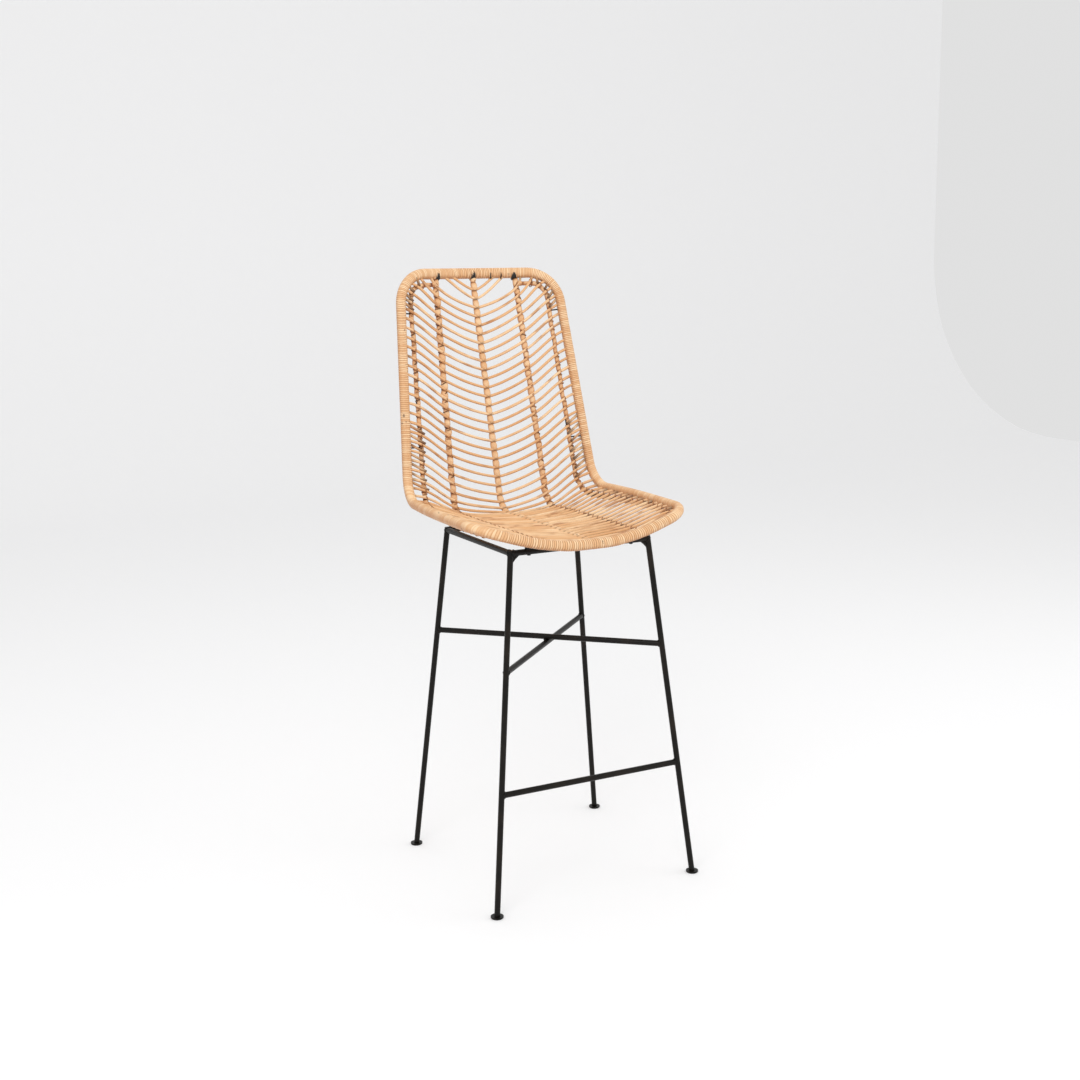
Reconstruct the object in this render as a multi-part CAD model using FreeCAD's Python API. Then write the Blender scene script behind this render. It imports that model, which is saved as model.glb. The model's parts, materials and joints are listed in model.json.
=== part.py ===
import FreeCAD, Part
import math
import os
from FreeCAD import Vector

# Bar stool: a welded black rod base with a footrest, carrying a one-piece shell of
# back and seat. The shell is a bent steel skeleton (rim, three ribs, two side loops)
# wrapped in rattan peel, with rattan strands woven across it from rim to rim.
#
# Millimetres. The stool faces -Y, and +Z is up. Left (-X) and right (+X) are as seen by
# someone who stands in front of it. Points below are given from the middle of the leg
# frame; LEG_FRAME_Y then moves the whole stool so that the origin is at the centre of
# its bounding box, on the floor.

# ---- driving dimensions -------------------------------------------------------------
LEG_FRAME_Y = -63.75         # the leg frame's middle, seen from the origin

ROD_R = 6.0                  # every black rod of the base is 12 mm
RAIL_Z = 720.0               # axis height of the square seat frame
RAIL_HALF_X = 156.0
RAIL_HALF_Y = 157.0
FOOT_HALF_X = 229.0          # where the leg axes meet the floor
FOOT_HALF_Y = 214.0
BRACE_MID_Z = 492.5          # the two diagonal braces lie on each other at this height
FOOTREST_Z = 244.0

DISC_R = 13.0                # steel foot disc, with a plastic glide pressed under it
DISC_H = 2.5
GLIDE_R = 11.5
GLIDE_H = 1.5

CORNER_GUSSET = 30.0         # from the rods' crossing axes to the gussets' tips
FOOTREST_GUSSET = 18.0       # the same at the footrest's ends
GUSSET_T = 4.0
GUSSET_HOLLOW = 0.38         # how near the hollow edge comes to the corner
WELD_R = 3.25                # weld beads on each side of the braces' crossing
WELD_X = 4.5

RIM_ROD_R = 4.5              # steel core of the rim
RIM_R = 10.5                 # rim over its rattan wrap
RIB_ROD_R = 4.0              # steel core of the ribs and side loops
RIB_R = 5.5                  # the same over their wrap
STRAND_R = 2.5               # a woven rattan strand
TIE_R = 1.5                  # short steel ties between a side loop and the rim

SPACER_X = 116.0             # steel spacers between the rails and the outer ribs
SPACER_WIDTH = 13.0
SPACER_DEPTH = 9.75
SPACER_TOP_Z = 738.0
SCREW_R = 2.0                # M4 screws, from under the rail into the rib
SCREW_TIP_Z = 740.0
SCREW_HEAD_R = 3.8
SCREW_HEAD_H = 2.4
SCREW_HEAD_ROUND = 1.2
SCREW_HEAD_SINK = 0.6        # how far the head's top is let into the rail

# Right-hand half of each bent rod of the shell, as the corners of its bends.
RIM_CORNERS = [(0, 344, 1263), (34, 344, 1263), (92, 330, 1263), (189, 301, 1262.5),
               (227, 198, 783), (241, 40, 781), (236, -184, 776), (122, -198, 742),
               (48, -203.5, 731), (0, -203.5, 731)]
LOOP_CORNERS = [(99, 316, 1238), (165, 306, 1236), (188, 201, 770), (212, 80, 767),
                (224, -60, 767), (213, -154, 763), (186, -169, 757)]
RIB_CORNERS = [(97, 326, 1263), (114, 212, 738), (118, 36, 739), (113, -198, 738)]
CENTRE_CORNERS = [(0, 344, 1263), (0, 213, 735), (0, 20, 736), (0, -203.5, 731)]
BEND_R = {"rim_top": 78.0, "rim": 68.0, "loop": 60.0, "rib": 55.0}
CORNER_SHARE = 0.45          # how much of a run a bend may take, where no radius is set
TIES = {"upper": (256.0, 117.0),      # their ends' distances along the rim and side loop
        "lower": (549.0, 408.0)}

# Strands, as distances along the rods from their top ends. Each rod of the back has a
# strand number (from 1), that strand's distance, and the pitch to the next strand.
BACK_STRANDS = 27
TOP_STARTS = [64.0, 84.0, 116.0, 145.0]     # the first strands start on the top rim
BACK_CROSSINGS = {"rim": (5, 180.0, 20.6), "loop": (7, 94.0, 20.6),
                  "rib": (3, 33.0, 20.6), "centre": (1, 41.0, 20.1)}
FIRST_OVER = {"loop": 4, "rib": 3}          # earlier strands pass above these rods
ARC_REACH = 0.29             # lifts the middle corner so that its bend meets the rib
SEAT_STRANDS = 19
SEAT_START = {"rim": 654.0, "loop": 527.0, "rib": 548.0, "centre": 584.0}
SEAT_SETBACK = {"rim": 224.0, "loop": 9.0, "rib": 14.5, "centre": 14.5}   # from the front

PLACES = {"front_left": (-1, -1), "front_right": (1, -1),
          "rear_left": (-1, 1), "rear_right": (1, 1)}


# ---- helpers ------------------------------------------------------------------------
def vectors(corners):
    return [Vector(*corner) for corner in corners]


def mirrored(shape):
    return shape.mirror(Vector(0, 0, 0), Vector(1, 0, 0))


def rod(start, end, radius):
    """A straight round rod between two points of its axis."""
    axis = end - start
    return Part.makeCylinder(radius, axis.Length, start, axis)


def leg_point(place, z):
    """A point of a leg's axis at height z."""
    side_x, side_y = PLACES[place]
    share = z / RAIL_Z
    x = FOOT_HALF_X + (RAIL_HALF_X - FOOT_HALF_X) * share
    y = FOOT_HALF_Y + (RAIL_HALF_Y - FOOT_HALF_Y) * share
    return Vector(side_x * x, side_y * y, z)


def bent_wire(points, radii=None):
    """Straight runs through points, joined by tangent arcs.

    radii gives the bend radius at some corners; the others take CORNER_SHARE of
    their shorter run."""
    radii = radii or {}
    edges = []
    last = points[0]
    for i in range(1, len(points) - 1):
        before = points[i - 1] - points[i]
        after = points[i + 1] - points[i]
        half_turn = (math.pi - before.getAngle(after)) / 2
        setback = CORNER_SHARE * min(before.Length, after.Length)
        if i in radii:
            setback = radii[i] * math.tan(half_turn)
        before.normalize()
        after.normalize()
        start = points[i] + before * setback
        end = points[i] + after * setback
        inward = before + after
        inward.normalize()
        radius = setback / math.tan(half_turn)
        middle = points[i] + inward * (radius / math.cos(half_turn) - radius)
        edges.append(Part.LineSegment(last, start).toShape())
        edges.append(Part.Arc(start, middle, end).toShape())
        last = end
    edges.append(Part.LineSegment(last, points[-1]).toShape())
    return Part.Wire(edges)


def tube(wire, radius):
    """A round bar swept along a bent wire."""
    first = wire.OrderedEdges[0]
    start = first.valueAt(first.FirstParameter)
    direction = first.valueAt(first.LastParameter) - start
    profile = Part.Wire([Part.makeCircle(radius, start, direction)])
    return wire.makePipeShell([profile], True, False)


def point_along(wire, distance):
    """The point at a distance along a wire, and the wire's direction there."""
    for edge in wire.OrderedEdges:
        if distance <= edge.Length or edge.isSame(wire.OrderedEdges[-1]):
            parameter = edge.getParameterByLength(min(distance, edge.Length))
            return edge.valueAt(parameter), edge.tangentAt(parameter)
        distance -= edge.Length


def over(wire, distance, height):
    """A point at a height above a rod, on the side where the sitter is."""
    point, direction = point_along(wire, distance)
    outward = direction.cross(Vector(1, 0, 0))
    outward.normalize()
    return point + outward * height


def gusset(corner, along_a, along_b, size):
    """A thin curved corner plate between two rods that meet at a corner."""
    reach_a = along_a * (size / along_a.Length)
    reach_b = along_b * (size / along_b.Length)
    tip_a = corner + reach_a
    tip_b = corner + reach_b
    hollow = corner + (reach_a + reach_b) * GUSSET_HOLLOW
    outline = [Part.LineSegment(corner, tip_a).toShape(),
               Part.Arc(tip_a, hollow, tip_b).toShape(),
               Part.LineSegment(tip_b, corner).toShape()]
    normal = along_a.cross(along_b)
    normal.normalize()
    plate = Part.Face(Part.Wire(outline))
    plate.translate(normal * (-GUSSET_T / 2))
    return plate.extrude(normal * GUSSET_T)


NODES = {}


def add(name, *solids):
    """Keeps the solids of one named node."""
    found = [solid for shape in solids for solid in shape.Solids]
    NODES[name] = found[0] if len(found) == 1 else Part.makeCompound(found)


# ---- base: legs, seat frame, braces, footrest, feet -----------------------------------
def make_base():
    disc_top = GLIDE_H + DISC_H
    reach = 2 * FOOT_HALF_X
    keep = Part.makeBox(2 * reach, 2 * reach, RAIL_Z + ROD_R - disc_top,
                        Vector(-reach, -reach, disc_top))
    legs = {}
    for place in PLACES:
        low = leg_point(place, -DISC_R)
        high = leg_point(place, RAIL_Z + 2 * ROD_R)
        legs[place] = rod(low, high, ROD_R).common(keep)
        add("leg_" + place, legs[place])
        foot = leg_point(place, 0)
        add("foot_disc_" + place,
            Part.makeCylinder(DISC_R, DISC_H, foot + Vector(0, 0, GLIDE_H)))
        add("foot_glide_" + place, Part.makeCylinder(GLIDE_R, GLIDE_H, foot))
    every_leg = Part.makeCompound(list(legs.values()))

    def between(place_a, place_b, z):
        return rod(leg_point(place_a, z), leg_point(place_b, z), ROD_R).cut(every_leg)

    rails = {"front": between("front_left", "front_right", RAIL_Z),
             "rear": between("rear_left", "rear_right", RAIL_Z),
             "left": between("front_left", "rear_left", RAIL_Z),
             "right": between("front_right", "rear_right", RAIL_Z)}
    braces = {"upper": between("rear_left", "front_right", BRACE_MID_Z + ROD_R),
              "lower": between("front_left", "rear_right", BRACE_MID_Z - ROD_R)}
    for name, brace in braces.items():
        add("cross_brace_" + name, brace)
    both_braces = Part.makeCompound(list(braces.values()))
    beads = [Part.makeSphere(WELD_R, Vector(side * WELD_X, 0, BRACE_MID_Z))
             for side in (-1, 1)]
    add("brace_welds", *[bead.cut(both_braces) for bead in beads])

    footrest = between("front_left", "front_right", FOOTREST_Z)
    add("footrest_bar", footrest)
    front_parts = Part.makeCompound([every_leg, rails["front"], footrest])
    for place, side in (("front_left", -1), ("front_right", 1)):
        inward = Vector(-side, 0, 0)
        name = place.replace("front_", "")
        corner = leg_point(place, RAIL_Z)
        down = leg_point(place, 0) - corner
        plate = gusset(corner, inward, down, CORNER_GUSSET)
        add("corner_gusset_" + name, plate.cut(front_parts))
        joint = leg_point(place, FOOTREST_Z)
        above = gusset(joint, inward, -down, FOOTREST_GUSSET)
        below = gusset(joint, inward, down, FOOTREST_GUSSET)
        add("footrest_gussets_" + name, above.cut(front_parts), below.cut(front_parts))
    return rails


# ---- shell skeleton: rim, ribs, side loops, ties and their rattan wraps ---------------
def make_skeleton():
    wires = {"rim": bent_wire(vectors(RIM_CORNERS), {3: BEND_R["rim_top"], 4: BEND_R["rim"]}),
             "loop": bent_wire(vectors(LOOP_CORNERS), {2: BEND_R["loop"]}),
             "rib": bent_wire(vectors(RIB_CORNERS), {1: BEND_R["rib"]}),
             "centre": bent_wire(vectors(CENTRE_CORNERS), {1: BEND_R["rib"]})}

    def ring(radius):
        half = tube(wires["rim"], radius)
        return half.fuse(mirrored(half)).removeSplitter()

    rim_rod = ring(RIM_ROD_R)
    rim_outside = ring(RIM_R)
    rods = {"rib_right": tube(wires["rib"], RIB_ROD_R).cut(rim_rod),
            "rib_centre": tube(wires["centre"], RIB_ROD_R).cut(rim_rod)}
    sleeves = {"rib_right": tube(wires["rib"], RIB_R),
               "rib_centre": tube(wires["centre"], RIB_R),
               "side_loop_right": tube(wires["loop"], RIB_R)}
    loop_rod = tube(wires["loop"], RIB_ROD_R)
    rods["side_loop_right"] = loop_rod.cut(rods["rib_right"])
    for name in ("rib", "side_loop"):
        rods[name + "_left"] = mirrored(rods[name + "_right"])
        sleeves[name + "_left"] = mirrored(sleeves[name + "_right"])

    ties = {}
    for level, (rim_distance, loop_distance) in TIES.items():
        rim_point = point_along(wires["rim"], rim_distance)[0]
        loop_point = point_along(wires["loop"], loop_distance)[0]
        tie = rod(loop_point, rim_point, TIE_R).cut(rim_rod).cut(loop_rod)
        ties[level + "_right"] = tie
        ties[level + "_left"] = mirrored(tie)
    return wires, rim_rod, rim_outside, rods, sleeves, ties


def make_fixings(rails, rods):
    """Spacers and screws that hold the outer ribs on the front and rear rails."""
    screws = []
    spacers = {}
    bores = []
    for place, (side_x, side_y) in PLACES.items():
        rib = rods["rib_left" if side_x < 0 else "rib_right"]
        x = side_x * SPACER_X
        y = side_y * RAIL_HALF_Y
        corner = Vector(x - SPACER_WIDTH / 2, y - SPACER_DEPTH / 2, RAIL_Z)
        block = Part.makeBox(SPACER_WIDTH, SPACER_DEPTH, SPACER_TOP_Z - RAIL_Z, corner)
        rail = rails["front" if side_y < 0 else "rear"]
        head_z = RAIL_Z - ROD_R - SCREW_HEAD_H + SCREW_HEAD_SINK
        shank = Part.makeCylinder(SCREW_R, SCREW_TIP_Z - head_z, Vector(x, y, head_z))
        head = Part.makeCylinder(SCREW_HEAD_R, SCREW_HEAD_H, Vector(x, y, head_z))
        head = head.makeFillet(SCREW_HEAD_ROUND, [head.Edges[2]]).cut(rail)
        screws.append(shank.fuse(head).removeSplitter())
        bores.append(shank)
        spacers[place] = block.cut(rail).cut(rib).cut(shank)
    every_bore = Part.makeCompound(bores)
    for name, rail in rails.items():
        add("seat_rail_" + name, rail.cut(every_bore))
    for place, spacer in spacers.items():
        add("shell_spacer_" + place, spacer)
    add("shell_screws", *screws)
    return every_bore, Part.makeCompound(list(spacers.values()))


def add_skeleton(skeleton, every_bore, every_spacer):
    rim_rod, rim_outside, rods, sleeves, ties = skeleton
    add("rim_rod", rim_rod)
    for name, bar in rods.items():
        add(name + "_rod", bar.cut(every_bore))
    every_rod = Part.makeCompound(list(rods.values()))
    for place, tie in ties.items():
        add("loop_tie_" + place, tie)
    every_tie = Part.makeCompound(list(ties.values()))
    add("rim_wrap", rim_outside.cut(Part.makeCompound([rim_rod, every_rod, every_tie])))
    for name, sleeve in sleeves.items():
        inside = [rods[name], rim_outside, every_tie, every_spacer, every_bore]
        side = name.replace("side_loop", "rib")
        if side != name:
            inside.append(sleeves[side])
        add(name + "_wrap", sleeve.cut(Part.makeCompound(inside)))


# ---- weave ------------------------------------------------------------------------------
def strand(wires, distances):
    """One strand from rim to rim, over the side loops and the ribs."""
    height = RIB_R + STRAND_R
    rim_point = point_along(wires["rim"], distances["rim"])[0]
    half = [rim_point]
    if distances["loop"] is not None:
        half.append(over(wires["loop"], distances["loop"], height))
    if distances["rib"] is not None:
        half.append(over(wires["rib"], distances["rib"], height))
    middle = over(wires["centre"], distances["centre"], height)
    above = Vector(0, half[-1].y, half[-1].z)
    middle = middle + (middle - above) * ARC_REACH
    other_half = [Vector(-point.x, point.y, point.z) for point in reversed(half)]
    return tube(bent_wire(half + [middle] + other_half), STRAND_R)


def back_distances(number):
    """Where back strand number (from 1) crosses each rod; None where it misses one."""
    distances = {}
    for name, (counted, first, pitch) in BACK_CROSSINGS.items():
        distances[name] = first + pitch * (number - counted)
        if number < FIRST_OVER.get(name, 1):
            distances[name] = None
    if number <= len(TOP_STARTS):
        distances["rim"] = TOP_STARTS[number - 1]
    return distances


def seat_distances(wires, index):
    """Where seat strand index (from 0) crosses each rod."""
    share = index / (SEAT_STRANDS - 1)
    distances = {}
    for name, first in SEAT_START.items():
        last = wires[name].Length - SEAT_SETBACK[name]
        distances[name] = first + (last - first) * share
    return distances


def make_weave(wires, rim_outside):
    back = [strand(wires, back_distances(number))
            for number in range(1, BACK_STRANDS + 1)]
    seat = [strand(wires, seat_distances(wires, index))
            for index in range(SEAT_STRANDS)]
    add("back_strands", Part.makeCompound(back).cut(rim_outside))
    add("seat_strands", Part.makeCompound(seat).cut(rim_outside))


def main():
    rails = make_base()
    wires, rim_rod, rim_outside, rods, sleeves, ties = make_skeleton()
    every_bore, every_spacer = make_fixings(rails, rods)
    add_skeleton((rim_rod, rim_outside, rods, sleeves, ties), every_bore, every_spacer)
    make_weave(wires, rim_outside)
    os.makedirs("parts", exist_ok=True)
    for name, shape in NODES.items():
        placed = shape.copy()
        placed.translate(Vector(0, LEG_FRAME_Y, 0))
        placed.exportStep("parts/" + name + ".step")
        valid = "valid" if placed.isValid() else "INVALID"
        print(name, len(placed.Solids), "solids", round(placed.Volume), "mm3", valid)


main()
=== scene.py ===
import json
import math
import random

import bmesh
import bpy
import numpy as np
from mathutils import Matrix, Vector


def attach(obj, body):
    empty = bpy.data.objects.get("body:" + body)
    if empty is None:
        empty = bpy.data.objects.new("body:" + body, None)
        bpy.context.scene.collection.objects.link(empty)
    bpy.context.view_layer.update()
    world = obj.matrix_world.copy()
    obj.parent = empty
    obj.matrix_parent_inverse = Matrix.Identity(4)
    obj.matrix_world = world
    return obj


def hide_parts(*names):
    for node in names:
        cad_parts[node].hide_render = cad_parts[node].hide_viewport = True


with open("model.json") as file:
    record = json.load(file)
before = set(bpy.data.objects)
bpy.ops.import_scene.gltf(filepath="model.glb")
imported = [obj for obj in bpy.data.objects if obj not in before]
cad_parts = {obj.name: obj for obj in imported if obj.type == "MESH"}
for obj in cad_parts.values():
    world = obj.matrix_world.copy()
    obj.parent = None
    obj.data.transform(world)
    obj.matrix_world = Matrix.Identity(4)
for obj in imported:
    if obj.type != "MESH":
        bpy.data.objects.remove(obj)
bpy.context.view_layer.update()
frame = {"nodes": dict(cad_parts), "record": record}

bl_info = {
    "name": "Woven Rattan Bar Stool",
    "version": (1, 0, 0),
    "blender": (4, 5, 0),
    "location": "3D View > Sidebar > Bar Stool",
    "description": "Winds, weaves and paints a bar stool round its steel skeleton",
    "category": "Add Mesh",
}

# Seeds of the random draws.
RIM_SEED = 11
ROD_SEEDS = {"rib": 21, "loop": 22, "centre": 23}
LEFT_SEED_STEP = 10
STRAND_SEED = 31
LASHING_SEED = 41

# ---- the steel skeleton's routes ----
# Right-hand half of each bent rod, in millimetres from the middle of the leg frame.
LEG_FRAME_Y = -63.75
RIM_CORNERS = [(0, 344, 1263), (34, 344, 1263), (92, 330, 1263), (189, 301, 1262.5),
               (227, 198, 783), (241, 40, 781), (236, -184, 776), (122, -198, 742),
               (48, -203.5, 731), (0, -203.5, 731)]
LOOP_CORNERS = [(99, 316, 1238), (165, 306, 1236), (188, 201, 770), (212, 80, 767),
                (224, -60, 767), (213, -154, 763), (186, -169, 757)]
RIB_CORNERS = [(97, 326, 1263), (114, 212, 738), (118, 36, 739), (113, -198, 738)]
CENTRE_CORNERS = [(0, 344, 1263), (0, 213, 735), (0, 20, 736), (0, -203.5, 731)]
CORNER_SHARE = 0.45           # how much of a run a bend takes where no radius is given

# Strands, as distances in metres along the rods from their top ends. Each crossing of
# the back is a counted strand's number, its distance and the spacing.
BACK_STRANDS = 27
TOP_STARTS = [0.064, 0.084, 0.116, 0.145]
BACK_CROSSINGS = {"rim": (5, 0.180, 0.0206), "loop": (7, 0.094, 0.0206),
                  "rib": (3, 0.033, 0.0206), "centre": (1, 0.041, 0.0201)}
FIRST_OVER = {"loop": 4, "rib": 3}
SEAT_STRANDS = 19
SEAT_START = {"rim": 0.654, "loop": 0.527, "rib": 0.548, "centre": 0.584}
SEAT_SETBACK = {"rim": 0.224, "loop": 0.009, "rib": 0.0145, "centre": 0.0145}
STRAND_HEIGHT = {"loop": 0.0080, "rib": 0.0088, "centre": 0.0050}   # over a rod's axis
CENTRE_SLOPE = 0.5            # of a strand's fall towards the centre rib, when it's there

# The base: half sizes at the floor and at the seat frame, and its heights.
FOOT_HALF = (0.229, 0.214)
RAIL_HALF = (0.156, 0.157)
RAIL_Z = 0.720
BRACE_Z = 0.4925
FOOTREST_Z = 0.244
ROD_R = 0.006

X_AXIS = Vector((1, 0, 0))


def placed(corners):
    """Corners given in millimetres from the leg frame, as metres in the stool's frame."""
    return [Vector((x, y + LEG_FRAME_Y, z)) / 1000 for x, y, z in corners]


def mirrored(point):
    """The same point on the left-hand side of the stool."""
    return Vector((-point[0], point[1], point[2]))


class Route:
    """A line through points that lie a few millimetres apart."""

    def __init__(self, points):
        self.points = np.array([list(p) for p in points])
        gaps = np.linalg.norm(np.diff(self.points, axis=0), axis=1)
        self.marks = np.concatenate([[0.0], np.cumsum(gaps)])
        self.length = self.marks[-1]

    @classmethod
    def bent(cls, corners, radii=None, step=0.001):
        """Straight runs with a tangent arc at each corner."""
        points = [corners[0]]
        for i in range(1, len(corners) - 1):
            points += cls.bend(corners[i - 1], corners[i], corners[i + 1],
                               (radii or {}).get(i), step)
        points.append(corners[-1])
        dense = [points[0]]
        for start, end in zip(points[:-1], points[1:]):
            parts = max(1, math.ceil((end - start).length / step))
            dense += [start.lerp(end, k / parts) for k in range(1, parts + 1)]
        return cls(dense)

    @staticmethod
    def bend(before, corner, after, radius, step):
        """Points of the arc that rounds one corner."""
        to_before = before - corner
        to_after = after - corner
        half_turn = (math.pi - to_before.angle(to_after)) / 2
        setback = CORNER_SHARE * min(to_before.length, to_after.length)
        if radius:
            setback = radius * math.tan(half_turn)
        to_before.normalize()
        to_after.normalize()
        arc_radius = setback / math.tan(half_turn)
        inward = (to_before + to_after).normalized()
        centre = corner + inward * (arc_radius / math.cos(half_turn))
        first = corner + to_before * setback - centre
        last = corner + to_after * setback - centre
        parts = max(3, math.ceil(arc_radius * half_turn * 2 / (4 * step)))
        return [centre + first.slerp(last, k / parts) * arc_radius
                for k in range(parts + 1)]

    def at(self, distance):
        """The point at a distance from the start."""
        return Vector([float(np.interp(distance, self.marks, self.points[:, k]))
                       for k in range(3)])

    def heading(self, distance):
        """The direction of travel at a distance from the start."""
        reach = 0.002
        low = max(0.0, distance - reach)
        high = min(self.length, distance + reach)
        return (self.at(high) - self.at(low)).normalized()

    def front(self, distance):
        """The direction square to the rod, on the side where the sitter is."""
        return self.heading(distance).cross(X_AXIS).normalized()

    def over(self, distance, height):
        """A point at a height above the rod, on the side where the sitter is."""
        return self.at(distance) + self.front(distance) * height


# The rods' routes, with the bend radius of the corners that have one of their own.
ROUTES = {
    "rim": Route.bent(placed(RIM_CORNERS), {3: 0.078, 4: 0.068}),
    "loop": Route.bent(placed(LOOP_CORNERS), {2: 0.060}),
    "rib": Route.bent(placed(RIB_CORNERS), {1: 0.055}),
    "centre": Route.bent(placed(CENTRE_CORNERS), {1: 0.055}),
}


def back_distances(number):
    """Where back strand number (from 1) crosses each rod; None where it misses one."""
    distances = {}
    for name, (counted, first, pitch) in BACK_CROSSINGS.items():
        distances[name] = first + pitch * (number - counted)
        if number < FIRST_OVER.get(name, 1):
            distances[name] = None
    if number <= len(TOP_STARTS):
        distances["rim"] = TOP_STARTS[number - 1]
    return distances


def seat_distances(index):
    """Where seat strand index (from 0) crosses each rod."""
    distances = {}
    for name, first in SEAT_START.items():
        last = ROUTES[name].length - SEAT_SETBACK[name]
        distances[name] = first + (last - first) * index / (SEAT_STRANDS - 1)
    return distances


def smooth_curve(start, end, leave, arrive, step=0.008):
    """Points of a smooth curve from one point to another, given its directions."""
    reach = (end - start).length
    parts = max(4, round(reach / step))
    points = []
    for k in range(parts):
        t = k / parts
        points.append(start * (2 * t ** 3 - 3 * t ** 2 + 1) + end * (3 * t ** 2 - 2 * t ** 3)
                      + leave * reach * (t ** 3 - 2 * t ** 2 + t)
                      + arrive * reach * (t ** 3 - t ** 2))
    return points


def strand_route(distances):
    """One strand from rim to rim, over the side loops and ribs, tucked in at the centre."""
    knots = [ROUTES["rim"].at(distances["rim"])]
    for name in ("loop", "rib", "centre"):
        if distances[name] is not None:
            knots.append(ROUTES[name].over(distances[name], STRAND_HEIGHT[name]))
    chords = [(b - a).normalized() for a, b in zip(knots[:-1], knots[1:])]
    down = ROUTES["centre"].heading(distances["centre"])
    arrive = chords[-1] - down * chords[-1].dot(down) * (1 - CENTRE_SLOPE)
    ways = [chords[0]] + [(a + b).normalized() for a, b in zip(chords[:-1], chords[1:])]
    ways.append(arrive.normalized())
    half = []
    for k in range(len(chords)):
        half += smooth_curve(knots[k], knots[k + 1], ways[k], ways[k + 1])
    return Route(half + [knots[-1]] + [mirrored(p) for p in reversed(half)])


# ---- node trees ----
class Sock:
    """An output socket for writing node maths as expressions."""

    def __init__(self, graph, socket):
        self.graph = graph
        self.socket = socket

    def maths(self, operation, first, second):
        return self.graph.add("ShaderNodeMath", {"operation": operation},
                              {0: first, 1: second})

    def __add__(self, other):
        return self.maths("ADD", self, other)

    __radd__ = __add__

    def __sub__(self, other):
        return self.maths("SUBTRACT", self, other)

    def __rsub__(self, other):
        return self.maths("SUBTRACT", other, self)

    def __mul__(self, other):
        return self.maths("MULTIPLY", self, other)

    __rmul__ = __mul__

    def __truediv__(self, other):
        return self.maths("DIVIDE", self, other)

    def __rtruediv__(self, other):
        return self.maths("DIVIDE", other, self)


class Graph:
    """Adds nodes to a tree: a material's or a Geometry Nodes group's."""

    COLUMN = 190

    def __init__(self, tree):
        self.tree = tree

    def add(self, kind, settings=None, inputs=None, output=0):
        """One node of a type, with its settings, then its sockets' values or links."""
        node = self.tree.nodes.new(kind)
        node.location = (len(self.tree.nodes) * self.COLUMN, 0)
        for name, value in (settings or {}).items():
            setattr(node, name, value)
        for key, value in (inputs or {}).items():
            self.feed(node.inputs[key], value)
        return Sock(self, node.outputs[output]) if node.outputs else node

    def feed(self, socket, value):
        if isinstance(value, Sock):
            self.tree.links.new(value.socket, socket)
        else:
            socket.default_value = value

    def smooth(self, value, low, high):
        """0 below low, 1 above high and smooth between them."""
        return self.add("ShaderNodeMapRange", {"interpolation_type": "SMOOTHSTEP"},
                        {0: value, 1: low, 2: high, 3: 0.0, 4: 1.0})

    def mix(self, share, first, second):
        """A colour between two colours."""
        return self.add("ShaderNodeMix", {"data_type": "RGBA", "blend_type": "MIX"},
                        {0: share, 6: first, 7: second}, 2)

    def vector(self, operation, first, second=None, scale=None):
        inputs = {0: first}
        if second is not None:
            inputs[1] = second
        if scale is not None:
            inputs[3] = scale
        output = 1 if operation == "DOT_PRODUCT" else 0
        return self.add("ShaderNodeVectorMath", {"operation": operation}, inputs, output)

    def attribute(self, name, output=2):
        """A mesh attribute in a material: output 2 is its value and 1 its vector."""
        settings = {"attribute_type": "GEOMETRY", "attribute_name": name}
        return self.add("ShaderNodeAttribute", settings, None, output)

    def noise(self, vector, scale, detail=2.0, roughness=0.5):
        return self.add("ShaderNodeTexNoise", None, {"Vector": vector, "Scale": scale,
                                                     "Detail": detail,
                                                     "Roughness": roughness})

    def bump(self, height, strength, distance):
        return self.add("ShaderNodeBump", None, {"Strength": strength,
                                                 "Distance": distance, "Height": height})


class GeometryTree(Graph):
    """A Geometry Nodes group that is built in code, with named inputs."""

    def __init__(self, name, sizes):
        super().__init__(bpy.data.node_groups.new(name, "GeometryNodeTree"))
        kinds = {"Geometry": "NodeSocketGeometry", "Material": "NodeSocketMaterial"}
        for label in ("Geometry", "Material"):
            self.tree.interface.new_socket(label, in_out="INPUT", socket_type=kinds[label])
        for label, default in sizes.items():
            kind = "NodeSocketFloat"
            if isinstance(default, int):
                kind = "NodeSocketInt"
            if default is None:
                kind = "NodeSocketObject"
            socket = self.tree.interface.new_socket(label, in_out="INPUT", socket_type=kind)
            if default is not None:
                socket.default_value = default
        self.tree.interface.new_socket("Geometry", in_out="OUTPUT",
                                       socket_type=kinds["Geometry"])
        self.group = self.tree.nodes.new("NodeGroupInput")

    def given(self, label):
        return Sock(self, self.group.outputs[label])

    def named(self, name, data_type="FLOAT"):
        return self.add("GeometryNodeInputNamedAttribute", {"data_type": data_type},
                        {"Name": name})

    def named_vector(self, name):
        return self.named(name, "FLOAT_VECTOR")

    def store(self, geometry, name, value, data_type="FLOAT"):
        settings = {"data_type": data_type, "domain": "POINT"}
        return self.add("GeometryNodeStoreNamedAttribute", settings,
                        {"Geometry": geometry, "Name": name, "Value": value})

    def finish(self, geometry):
        """Ends the tree: real geometry, smooth faces and a material."""
        real = self.add("GeometryNodeRealizeInstances", None, {"Geometry": geometry})
        smooth = self.add("GeometryNodeSetShadeSmooth", None, {"Geometry": real})
        painted = self.add("GeometryNodeSetMaterial", None,
                           {"Geometry": smooth, "Material": self.given("Material")})
        self.add("NodeGroupOutput", None, {0: painted})
        return self.tree


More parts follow.
